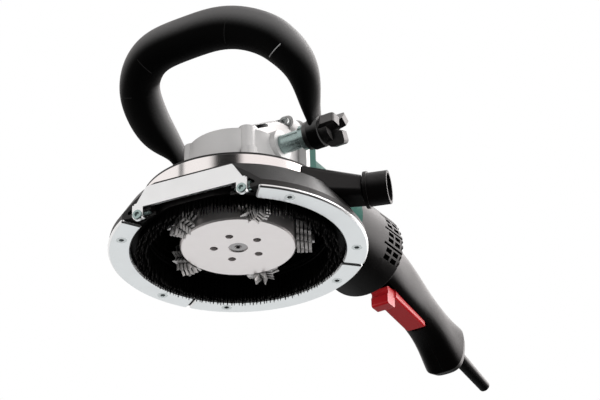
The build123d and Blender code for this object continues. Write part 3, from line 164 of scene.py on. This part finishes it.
def make_world():
    """The panels, a thin grey line that the steel collar mirrors, and white behind the tool."""
    world = bpy.data.worlds.new("studio")
    scene.world = world
    world.use_nodes = True
    tree = world.node_tree
    tree.nodes.clear()
    way = put(tree, "ShaderNodeTexCoord").outputs["Generated"]
    level_back = Vector((view_back.x, view_back.y, 0)).normalized()
    level_right = UP.cross(level_back)
    light = grey(DARK_LEVEL)
    for (back, right, up), full, outer, level, tint in PANELS:
        centre = (back * level_back + right * level_right + up * UP).normalized()
        share = ramp(tree, dot(tree, way, tuple(centre)), math.cos(math.radians(outer)),
                     math.cos(math.radians(full)), 0.0, 1.0)
        panel = blend_colour(tree, share, (0, 0, 0, 1), tuple(level * c for c in tint) + (1,))
        light = blend_colour(tree, 1.0, light, panel, "LIGHTEN")
    ahead = math.cos(LINE_AZIMUTH) * level_back + math.sin(LINE_AZIMUTH) * level_right
    across = maths(tree, "ABSOLUTE", dot(tree, way, tuple(ahead.cross(UP))))
    line = maths(tree, "MULTIPLY", ramp(tree, across, *LINE_HALF_WIDTH, 1.0, 0.0),
                 ramp(tree, dot(tree, way, tuple(ahead)), *LINE_SIDE, 0.0, 1.0))
    light = blend_colour(tree, line, light, grey(LINE_LEVEL))
    path = put(tree, "ShaderNodeLightPath")
    shown = blend_colour(tree, path.outputs["Is Camera Ray"], light, (1, 1, 1, 1))
    background = put(tree, "ShaderNodeBackground", {"Color": shown, "Strength": 1.0})
    put(tree, "ShaderNodeOutputWorld", {0: background.outputs[0]})


make_world()


# Floor
FLOOR_SIZE = 8.0
FLOOR_MIDDLE = 0.15
FLOOR_GAP = 0.5 * MM
FLOOR_TONES = ((0.80, 0.80, 0.79, 1), (0.84, 0.84, 0.84, 1))


def make_floor():
    """A pale floor under the brush, seen from above only, so that the camera below looks through it."""
    place = (FLOOR_MIDDLE, 0, cad_box[0][2] - FLOOR_GAP)
    bpy.ops.mesh.primitive_plane_add(size=FLOOR_SIZE, location=place)
    floor = bpy.context.object
    floor.name = "floor"
    material = bpy.data.materials.new("floor_paint")
    material.use_nodes = True
    tree = material.node_tree
    tree.nodes.clear()
    path = put(tree, "ShaderNodeLightPath")
    side = put(tree, "ShaderNodeNewGeometry")
    spot = put(tree, "ShaderNodeTexCoord").outputs["Object"]
    cloud = put(tree, "ShaderNodeTexNoise", {"Vector": spot, "Scale": 6.0, "Detail": 3.0}).outputs["Fac"]
    paint = blend_colour(tree, cloud, *FLOOR_TONES)
    clear = put(tree, "ShaderNodeBsdfTransparent")
    pale = put(tree, "ShaderNodeBsdfDiffuse", {"Color": paint})
    above = maths(tree, "SUBTRACT", 1.0, side.outputs["Backfacing"])
    seen = maths(tree, "MULTIPLY", path.outputs["Is Camera Ray"], above)
    mixed = put(tree, "ShaderNodeMixShader", {0: seen, 1: clear.outputs[0], 2: pale.outputs[0]})
    put(tree, "ShaderNodeOutputMaterial", {0: mixed.outputs[0]})
    floor.data.materials.append(material)


make_floor()


# Lamps
LAMP_AIM = Vector((0.1, 0, 0.06))
LAMP_DISTANCE = 1.6


def lamp(name, direction, size, power):
    """A round lamp that looks at the tool from a direction."""
    data = bpy.data.lights.new(name, "AREA")
    data.shape = "DISK"
    data.size = size
    data.energy = power
    made = bpy.data.objects.new(name, data)
    scene.collection.objects.link(made)
    way = Vector(direction).normalized()
    made.location = LAMP_AIM + way * LAMP_DISTANCE
    made.rotation_euler = way.to_track_quat("Z", "Y").to_euler()
    return made


lamp("key", -0.4 * view_back + 0.9 * UP + 0.5 * view_right, size=1.0, power=8.0)
fill = lamp("fill", view_back + 0.2 * UP + 0.35 * view_right, size=1.2, power=22.0)
fill.visible_glossy = False


# Materials: rounding of edges in mm, and how far a normal turns where an edge counts as worn
PLASTIC_EDGE = 0.35
METAL_EDGE = 0.3
DISC_EDGE = 0.4
BRISTLE_EDGE = 0.05
WORN_TURN = (0.01, 0.12)


class Finish:
    """A material in the making: its tree, its shader and its place in the part's frame."""

    def __init__(self, name, rough, metallic=0.0, specular=0.5, edge=PLASTIC_EDGE):
        self.material = bpy.data.materials.new(name)
        self.material.use_nodes = True
        self.tree = self.material.node_tree
        self.tree.nodes.clear()
        self.shader = put(self.tree, "ShaderNodeBsdfPrincipled",
                          {"Metallic": metallic, "Specular IOR Level": specular, "Roughness": rough})
        put(self.tree, "ShaderNodeOutputMaterial", {0: self.shader.outputs[0]})
        self.place = put(self.tree, "ShaderNodeTexCoord").outputs["Object"]
        self.rounded = put(self.tree, "ShaderNodeBevel", {"Radius": edge * MM}, samples=4).outputs[0]
        self.heights = []

    def set(self, name, value):
        feed(self.tree, self.shader.inputs[name], value)

    def noise(self, scale, detail=2.0, rough=0.5, vector=None, stretch=None):
        vector = vector or self.place
        if stretch:
            vector = put(self.tree, "ShaderNodeMapping", {"Vector": vector, "Scale": stretch}).outputs[0]
        return put(self.tree, "ShaderNodeTexNoise",
                   {"Vector": vector, "Scale": scale, "Detail": detail, "Roughness": rough}).outputs["Fac"]

    def vector(self, operation, a, *b):
        return put(self.tree, "ShaderNodeVectorMath", dict(enumerate((a, *b))), operation=operation)

    def level(self):
        """The place without its height, from the spindle axis."""
        return self.vector("MULTIPLY", self.place, (1, 1, 0)).outputs[0]

    def radius(self):
        """Distance from the spindle axis, as a vector for one-way textures."""
        length = self.vector("LENGTH", self.level())
        return put(self.tree, "ShaderNodeCombineXYZ", {0: length.outputs["Value"]}).outputs[0]

    def outward(self):
        """Direction away from the spindle axis."""
        return self.vector("NORMALIZE", self.level()).outputs[0]

    def worn(self):
        """How sharply the surface turns here: 1 along edges, 0 on open faces."""
        normal = put(self.tree, "ShaderNodeNewGeometry").outputs["Normal"]
        turn = maths(self.tree, "SUBTRACT", 1.0, dot(self.tree, self.rounded, normal))
        return ramp(self.tree, turn, *WORN_TURN, 0.0, 1.0)

    def seam(self, normal, through, half_width, reach):
        """1 on a thin line where a plane cuts the surface, as far as a reach from its point."""
        t = self.tree
        along_normal = dot(t, self.place, tuple(normal))
        offset = maths(t, "SUBTRACT", along_normal, Vector(normal).dot(Vector(through)))
        away = self.vector("DISTANCE", self.place, tuple(through)).outputs["Value"]
        across = ramp(t, maths(t, "ABSOLUTE", offset), 0.5 * half_width, half_width, 1.0, 0.0)
        near = ramp(t, away, 0.9 * reach, reach, 1.0, 0.0)
        return maths(t, "MULTIPLY", across, near)

    def bump(self, height, strength, depth):
        self.heights.append((height, strength, depth))

    def done(self):
        normal = self.rounded
        for height, strength, depth in self.heights:
            normal = put(self.tree, "ShaderNodeBump",
                         {"Height": height, "Strength": strength, "Distance": depth * MM, "Normal": normal}
                         ).outputs[0]
        self.set("Normal", normal)
        return self.material


# How far a normal points up where a face stops being an under side, a flank, and starts being an upper
# face, which can take a painted sheen
UNDER_TURN = (-0.45, 0.10)
FLANK_TURN = (-0.70, -0.28)
SHEEN_TURN = (-0.40, 0.30)
SEAM_DEPTH = 0.4


def moulded(name, dark, light, rough, grain=2600.0, depth=0.25, worn=(0.05, 0.05, 0.05), share=0.35,
            specular=0.5, under=None, turn=UNDER_TURN, sheen_tone=None, speckle=0.12, seams=()):
    """Moulded plastic or rubber: fine grain, uneven gloss, edges rubbed pale, and parting seams.
    Faces that look down are duller where under is given, and upper faces take the tone of top, a painted
    sheen for light from above."""
    f = Finish(name, rough, specular=specular)
    t = f.tree
    height = dot(t, put(t, "ShaderNodeNewGeometry").outputs["Normal"], (0, 0, 1))
    if under is not None:
        f.set("Specular IOR Level", ramp(t, height, *turn, under, specular))
    cloud = f.noise(22.0, 3.0)
    fine = f.noise(grain, 2.0)
    colour = blend_colour(t, cloud, (*dark, 1), (*light, 1))
    # Painted sheen: faces that look up are painted lighter in the given tone, as light from above would
    # show them
    if sheen_tone:
        colour = blend_colour(t, ramp(t, height, *SHEEN_TURN, 0.0, 1.0), colour, (*sheen_tone, 1))
    specks = maths(t, "MULTIPLY", ramp(t, fine, 0.55, 0.8, 0.0, 1.0), speckle)
    colour = blend_colour(t, specks, colour, (*worn, 1))
    colour = blend_colour(t, maths(t, "MULTIPLY", f.worn(), share), colour, (*worn, 1))
    f.set("Roughness", maths(t, "ADD", ramp(t, cloud, 0.3, 0.7, rough - 0.05, rough + 0.05),
                             maths(t, "MULTIPLY", fine, 0.06)))
    f.bump(fine, 0.35, depth)
    for normal, through, half_width, reach, tone in seams:
        groove = f.seam(normal, [c * MM for c in through], half_width * MM, reach * MM)
        colour = blend_colour(t, groove, colour, grey(tone))
        f.bump(maths(t, "SUBTRACT", 1.0, groove), 0.6, SEAM_DEPTH)
    f.set("Base Color", colour)
    return f.done()


def metal(name, dark, light, rough, cloud_scale=60.0, grain=900.0, depth=0.1, worn=(0.9, 0.9, 0.9),
          share=0.4, spread=0.08, metallic=1.0, shade=None):
    """Bare metal: patchy tone, fine surface grain, and bright edges; hollows within shade are painted dark
    as shade.
    """
    f = Finish(name, rough, metallic=metallic, edge=METAL_EDGE)
    t = f.tree
    cloud = f.noise(cloud_scale, 4.0, 0.6)
    fine = f.noise(grain, 3.0, 0.6)
    colour = blend_colour(t, cloud, (*dark, 1), (*light, 1))
    colour = blend_colour(t, maths(t, "MULTIPLY", f.worn(), share), colour, (*worn, 1))
    # Painted shade: hollows found by ambient occlusion within shade mm are darkened to near black
    if shade:
        free = put(t, "ShaderNodeAmbientOcclusion", {"Distance": shade * MM}, samples=8).outputs["AO"]
        colour = blend_colour(t, ramp(t, free, 0.25, 0.75, 0.0, 1.0), grey(0.03), colour)
    f.set("Base Color", colour)
    f.set("Roughness", maths(t, "ADD", ramp(t, cloud, 0.3, 0.7, rough - spread, rough + spread),
                             maths(t, "MULTIPLY", maths(t, "SUBTRACT", fine, 0.5), 0.2)))
    f.bump(fine, 0.3, depth)
    return f.done()


def turned(name, dark, light, rough):
    """A turned face: faint rings about the spindle axis over a mottled tone."""
    f = Finish(name, rough, metallic=0.88, edge=DISC_EDGE)
    t = f.tree
    cloud = f.noise(70.0, 4.0, 0.6)
    rings = f.noise(2400.0, 2.0, 0.7, vector=f.radius())
    colour = blend_colour(t, cloud, (*dark, 1), (*light, 1))
    colour = blend_colour(t, maths(t, "MULTIPLY", ramp(t, rings, 0.55, 0.75, 0.0, 1.0), 0.12), colour,
                          (0.55, 0.53, 0.52, 1))
    colour = blend_colour(t, maths(t, "MULTIPLY", f.worn(), 0.5), colour, (0.95, 0.93, 0.92, 1))
    f.set("Base Color", colour)
    f.set("Roughness", ramp(t, rings, 0.3, 0.7, rough - 0.05, rough + 0.07))
    f.bump(rings, 0.2, 0.05)
    return f.done()


# Height above which the collar is painted black as a painted shadow line along its rim
RIM_SHADOW_HEIGHT = 42.3 * MM


def collar_finish():
    """Polished sheet on the collar's outside; the band at its rim is painted black as the shadow line
    there, and faces turned inward are painted black.
    """
    f = Finish("collar_steel", 0.12, metallic=1.0, edge=METAL_EDGE)
    t = f.tree
    cloud = f.noise(30.0, 4.0, 0.6)
    fine = f.noise(900.0, 3.0, 0.6, stretch=(0.02, 0.02, 3.0))
    steel = blend_colour(t, cloud, (0.80, 0.775, 0.765, 1), (0.86, 0.84, 0.83, 1))
    normal = put(t, "ShaderNodeNewGeometry").outputs["True Normal"]
    outward = dot(t, normal, f.outward())
    inside = ramp(t, outward, 0.2, 0.4, 1.0, 0.0)
    # Painted shadow: above the rim height the steel is painted black
    height = put(t, "ShaderNodeSeparateXYZ", {0: f.place}).outputs["Z"]
    rim = ramp(t, height, RIM_SHADOW_HEIGHT - 0.2 * MM, RIM_SHADOW_HEIGHT, 0.0, 1.0)
    black = maths(t, "MAXIMUM", inside, rim)
    f.set("Base Color", blend_colour(t, black, steel, grey(0.005)))
    f.set("Metallic", maths(t, "SUBTRACT", 1.0, black))
    polish = ramp(t, cloud, 0.3, 0.7, 0.10, 0.15)
    f.set("Roughness", maths(t, "ADD", polish, maths(t, "MULTIPLY", black, 0.35)))
    f.bump(fine, 0.3, 0.02)
    return f.done()


BRISTLE_PALE = (-9.2 * MM, -6.5 * MM)


def bristle_finish():
    """Nylon bristles, black along their length and frayed pale at the tips."""
    f = Finish("bristle_nylon", 0.45, specular=0.08, edge=BRISTLE_EDGE)
    t = f.tree
    height = put(t, "ShaderNodeSeparateXYZ", {0: f.place}).outputs["Z"]
    tip = ramp(t, height, *BRISTLE_PALE, 1.0, 0.0)
    mix = f.noise(900.0, 1.0)
    pale = maths(t, "MULTIPLY", tip, ramp(t, mix, 0.35, 0.65, 0.05, 1.0))
    f.set("Base Color", blend_colour(t, pale, grey(0.0012), (0.055, 0.054, 0.053, 1)))
    f.bump(f.noise(5000.0, 1.0), 0.2, 0.05)
    return f.done()


def wound(name, colour):
    """Lacquered wire laid side by side."""
    f = Finish(name, 0.35, metallic=0.9)
    t = f.tree
    turns = put(t, "ShaderNodeTexWave", {"Vector": f.place, "Scale": 320.0, "Distortion": 0.6},
                bands_direction="X").outputs["Fac"]
    dull = tuple(0.55 * c for c in colour)
    f.set("Base Color", blend_colour(t, turns, (*dull, 1), (*colour, 1)))
    f.bump(turns, 0.6, 0.4)
    return f.done()


def stacked(name, colour):
    """Sheet laminations edge on."""
    f = Finish(name, 0.5, metallic=0.9)
    t = f.tree
    sheets = put(t, "ShaderNodeTexWave", {"Vector": f.place, "Scale": 500.0},
                 bands_direction="X").outputs["Fac"]
    dull = tuple(0.5 * c for c in colour)
    f.set("Base Color", blend_colour(t, sheets, (*dull, 1), (*colour, 1)))
    f.bump(sheets, 0.5, 0.2)
    return f.done()


# Parting lines in mm: the plane's normal, a point on it, half width, reach, and the line's tone
MIDDLE_SEAM = ((0, 1, 0), (250, 0, 80), 0.35, 300, 0.0008)
GUARD_SEAM_ANGLE = math.radians(64.5)
GUARD_SEAM = ((math.sin(GUARD_SEAM_ANGLE), -math.cos(GUARD_SEAM_ANGLE), 0), (0, 0, 0), 0.4, 200, 0.0008)
BOW_SEAMS = (
    # The first seam's pale tone is a painted highlight along that seam
    ((0.533, -0.431, -0.728), (-49.1, -69.3, 142.1), 0.5, 9, 0.30),
    ((0.224, -0.907, -0.357), (-63.7, -30.0, 165.8), 0.4, 10, 0.014),
    ((0.148, 0.897, -0.418), (-61.8, 52.3, 162.6), 0.4, 9, 0.014),
    ((0.527, 0.271, -0.806), (-52.5, 75.4, 144.1), 0.4, 5, 0.014),
)

shell_black = moulded("shell_black", (0.0012, 0.0011, 0.0011), (0.0022, 0.002, 0.002), 0.42, 1900.0, 0.4,
                      worn=(0.02, 0.018, 0.018), specular=0.55, under=0.04, speckle=0.15)
guard_black = moulded("guard_black", (0.0014, 0.0012, 0.0012), (0.0026, 0.0023, 0.0023), 0.42, 1900.0, 0.5,
                      worn=(0.035, 0.031, 0.031), specular=0.5, under=0.05, speckle=0.3,
                      seams=(GUARD_SEAM,))
housing_black = moulded("housing_black", (0.0012, 0.0011, 0.001), (0.0022, 0.002, 0.0019), 0.38, 3200.0,
                        0.12, worn=(0.012, 0.011, 0.011), specular=0.40, under=0.04, turn=FLANK_TURN,
                        seams=(MIDDLE_SEAM,))
# The black rubber, the bow and the knob get a painted sheen on faces that look up
rubber_black = moulded("rubber_black", (0.0008, 0.0008, 0.0008), (0.0016, 0.0016, 0.0016), 0.42, 3600.0,
                       0.2, worn=(0.006, 0.006, 0.006), specular=0.8, under=0.03, sheen_tone=(0.04, 0.04, 0.04))
bow_rubber = moulded("bow_rubber", (0.0008, 0.0008, 0.0008), (0.0016, 0.0016, 0.0016), 0.52, 1500.0, 0.3,
                     worn=(0.006, 0.006, 0.006), specular=0.30, under=0.03, sheen_tone=(0.10, 0.10, 0.10),
                     seams=BOW_SEAMS)
knob_black = moulded("knob_black", (0.0012, 0.0012, 0.0012), (0.0024, 0.0023, 0.0023), 0.30, 2400.0, 0.2,
                     worn=(0.05, 0.047, 0.046), share=0.6, specular=0.9, under=0.45,
                     sheen_tone=(0.07, 0.067, 0.066))
tub_green = moulded("tub_green", (0.006, 0.062, 0.048), (0.009, 0.078, 0.060), 0.46, 2800.0, 0.12,
                    worn=(0.015, 0.11, 0.09), specular=0.05)
switch_red = moulded("switch_red", (0.40, 0.010, 0.014), (0.48, 0.014, 0.018), 0.30, 3000.0, 0.08,
                     worn=(0.60, 0.10, 0.10), specular=1.0, under=0.10, turn=FLANK_TURN)
# The cast alloy's hollows take painted shade
cast_alloy = metal("cast_alloy", (0.46, 0.46, 0.46), (0.58, 0.58, 0.575), 0.46, 45.0, 700.0, 0.3,
                   worn=(0.50, 0.50, 0.50), share=0.5, metallic=0.3, shade=5.0)
collar_steel = collar_finish()
plate_steel = metal("plate_steel", (0.83, 0.855, 0.86), (0.865, 0.885, 0.89), 0.34, 60.0, 1500.0, 0.03,
                    spread=0.03)
disc_steel = turned("disc_steel", (0.87, 0.825, 0.815), (0.93, 0.89, 0.88), 0.34)
# Cutter steel: edges rubbed bright by wear and, at this strength, a painted glint on the star edges; its
# hollows take painted shade
cutter_steel = metal("cutter_steel", (0.52, 0.50, 0.49), (0.86, 0.84, 0.83), 0.30, 220.0, 1500.0, 0.1,
                     worn=(1.0, 0.98, 0.97), share=0.9, metallic=0.5, shade=6.0)
shaft_steel = metal("shaft_steel", (0.32, 0.31, 0.31), (0.42, 0.41, 0.41), 0.3, 80.0, 1200.0, 0.05)
gear_steel = metal("gear_steel", (0.34, 0.34, 0.35), (0.46, 0.46, 0.47), 0.34, 80.0, 1200.0, 0.08)
bearing_steel = metal("bearing_steel", (0.62, 0.62, 0.64), (0.72, 0.72, 0.74), 0.18, 80.0, 1500.0, 0.03)
screw_steel = metal("screw_steel", (0.54, 0.58, 0.58), (0.70, 0.73, 0.73), 0.30, 300.0, 2000.0, 0.05)
zinc = metal("zinc", (0.24, 0.33, 0.32), (0.38, 0.47, 0.46), 0.24, 200.0, 1600.0, 0.08, metallic=0.85,
             worn=(0.7, 0.76, 0.75))
bristle_nylon = bristle_finish()
lamination = stacked("lamination", (0.32, 0.32, 0.33))
copper = wound("copper", (0.75, 0.36, 0.18))
carbon = moulded("carbon", (0.03, 0.03, 0.03), (0.05, 0.05, 0.05), 0.6, 1500.0, 0.2)
fan_plastic = moulded("fan_plastic", (0.08, 0.08, 0.085), (0.11, 0.11, 0.115), 0.5)

finish_of = {
    "disc_steel": disc_steel, "cutter_steel": cutter_steel, "shaft_steel": shaft_steel,
    "gear_steel": gear_steel, "bearing_steel": bearing_steel, "screw_steel": screw_steel,
    "cast_alloy": cast_alloy, "collar_steel": collar_steel, "plate_steel": plate_steel, "zinc": zinc,
    "black_plastic": shell_black, "black_rubber": rubber_black, "green_plastic": tub_green,
    "red_plastic": switch_red, "bristle": bristle_nylon, "lamination": lamination, "copper": copper,
    "carbon": carbon, "fan_plastic": fan_plastic,
}
own_finish = {
    "housing_left": housing_black, "housing_right": housing_black, "wing_knob": knob_black,
    "tooth_disc": knob_black, "guard_shell": guard_black, "bow_handle": bow_rubber,
}
for row in frame["record"]["subparts"]:
    node = nodes[row["node"]]
    material = own_finish.get(row["node"], finish_of[row["material_slot"]])
    node.data.materials.clear()
    node.data.materials.append(material)


# Brush ring, in mm and degrees: staggered tufts that draw in to points and splay outwards below the ring
GUARD_TURN = 6.2
ARCS = 6
ARC_GAP = 0.5
BRUSH_INNER = 74.5
BRUSH_OUTER = 82.2
BACKING_LOW = 11.0
BACKING_TOP = 14.0
BACKING_EDGE = 0.6
BACKING_STEPS = 16
SKIRT_LOW = 2.0
BRISTLE_TIP = -9.5
TUFT_CIRCLES = (75.8, 78.4, 80.8)
TUFT_SPLAY = (-0.6, 1.8, 4.6)
SPLAY_SPREAD = ((-1.2, 1.6), (-1.6, 1.6), (-2.4, 0.0))
TUFTS = 28
TUFT_BRISTLES = 12
TUFT_HALF_WIDTH = 1.2
TUFT_HALF_DEPTH = 0.9
TUFT_LEAN = 0.8
TUFT_OFFSETS = (0.25, 0.75, 0.25)
TUFT_DRAW = (1.0, 0.8, 0.55, 0.28)
TUFT_BEND = (0.0, 0.15, 0.5, 1.0)
ROOT_DEPTH = 0.5
TIP_GAP = 0.1
TIP_RAGGED = 2.6
ARC_MARGIN = 0.2
BRISTLE_SIZE = 0.30
BRISTLE_SHARES = (1.0, 0.95, 0.8, 0.4)
BRISTLE_ACROSS = Vector((0.3, 0.7, 0.2))
FRONT_REACH = 83.2


def ring_point(radius, angle, height):
    turn = math.radians(angle + GUARD_TURN)
    return Vector((radius * math.cos(turn), radius * math.sin(turn), height)) * MM


def add_bristle(mesh, line):
    """A bristle of three sides along a line of points, thinner at its tip."""
    along = (line[-1] - line[0]).normalized()
    side = along.cross(BRISTLE_ACROSS).normalized()
    other = along.cross(side)
    turns = (0.0, 2 * math.pi / 3, 4 * math.pi / 3)
    corners = [side * math.cos(turn) + other * math.sin(turn) for turn in turns]
    loops = [[mesh.verts.new(centre + corner * BRISTLE_SIZE * MM * share) for corner in corners]
             for centre, share in zip(line, BRISTLE_SHARES)]
    for low, high in zip(loops, loops[1:]):
        for k in range(3):
            mesh.faces.new((low[k], low[(k + 1) % 3], high[(k + 1) % 3], high[k]))
    mesh.faces.new(loops[0][::-1])
    mesh.faces.new(loops[-1])


def add_tuft(mesh, circle, splay, angle, limits, rng):
    """One tuft: wide at its root, nearly a point at its tip, and kept behind the ring's open front."""
    sideways = rng.uniform(-1, 1) * TUFT_LEAN
    for _ in range(TUFT_BRISTLES):
        aside = rng.uniform(-1, 1) * TUFT_HALF_WIDTH
        inward = rng.uniform(-1, 1) * TUFT_HALF_DEPTH
        low = BRISTLE_TIP + TIP_GAP + TIP_RAGGED * rng.random() ** 2
        heights = (BACKING_LOW + ROOT_DEPTH, SKIRT_LOW, 0.5 * (SKIRT_LOW + low), low)
        line = []
        for height, draw, lean in zip(heights, TUFT_DRAW, TUFT_BEND):
            radius = circle + inward * draw + splay * lean
            turn = angle + math.degrees((aside * draw + sideways * lean) / circle)
            turn = min(max(turn, limits[0]), limits[1])
            ahead = -math.cos(math.radians(turn))
            if ahead * radius > FRONT_REACH:
                radius = FRONT_REACH / ahead
            line.append(ring_point(radius, turn, height))
        add_bristle(mesh, line)


def add_backing(mesh, start, size):
    """The bevelled strip that the tufts of one arc stand in."""
    rings = []
    for k in range(BACKING_STEPS + 1):
        angle = start + size * k / BACKING_STEPS
        rings.append([mesh.verts.new(ring_point(r, angle, z)) for r, z in (
            (BRUSH_INNER, BACKING_LOW + BACKING_EDGE), (BRUSH_INNER + BACKING_EDGE, BACKING_LOW),
            (BRUSH_OUTER - BACKING_EDGE, BACKING_LOW), (BRUSH_OUTER, BACKING_LOW + BACKING_EDGE),
            (BRUSH_OUTER, BACKING_TOP), (BRUSH_INNER, BACKING_TOP))])
    for a, b in zip(rings, rings[1:]):
        for k in range(6):
            mesh.faces.new((a[k], b[k], b[(k + 1) % 6], a[(k + 1) % 6]))
    mesh.faces.new(rings[0])
    mesh.faces.new(rings[-1][::-1])


def make_bristles(number, rng):
    """One arc of the brush, which replaces its solid of plain strands."""
    mesh = bmesh.new()
    start = 360 / ARCS * (number - 1)
    size = 360 / ARCS - ARC_GAP
    add_backing(mesh, start, size)
    limits = (start + ARC_MARGIN, start + size - ARC_MARGIN)
    for circle, splay, spread, offset in zip(TUFT_CIRCLES, TUFT_SPLAY, SPLAY_SPREAD, TUFT_OFFSETS):
        for tuft in range(TUFTS):
            angle = start + size * (tuft + offset) / TUFTS
            lean_out = splay + rng.uniform(*spread)
            add_tuft(mesh, circle, lean_out, angle, limits, rng)
    bmesh.ops.recalc_face_normals(mesh, faces=mesh.faces)
    data = bpy.data.meshes.new(f"bristles_{number}")
    mesh.to_mesh(data)
    mesh.free()
    data.materials.append(bristle_nylon)
    made = bpy.data.objects.new(f"bristles_{number}", data)
    scene.collection.objects.link(made)
    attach(made, "guard")
    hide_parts(f"brush_arc_{number}")


draws = random.Random(7)
for arc in range(1, ARCS + 1):
    make_bristles(arc, draws)
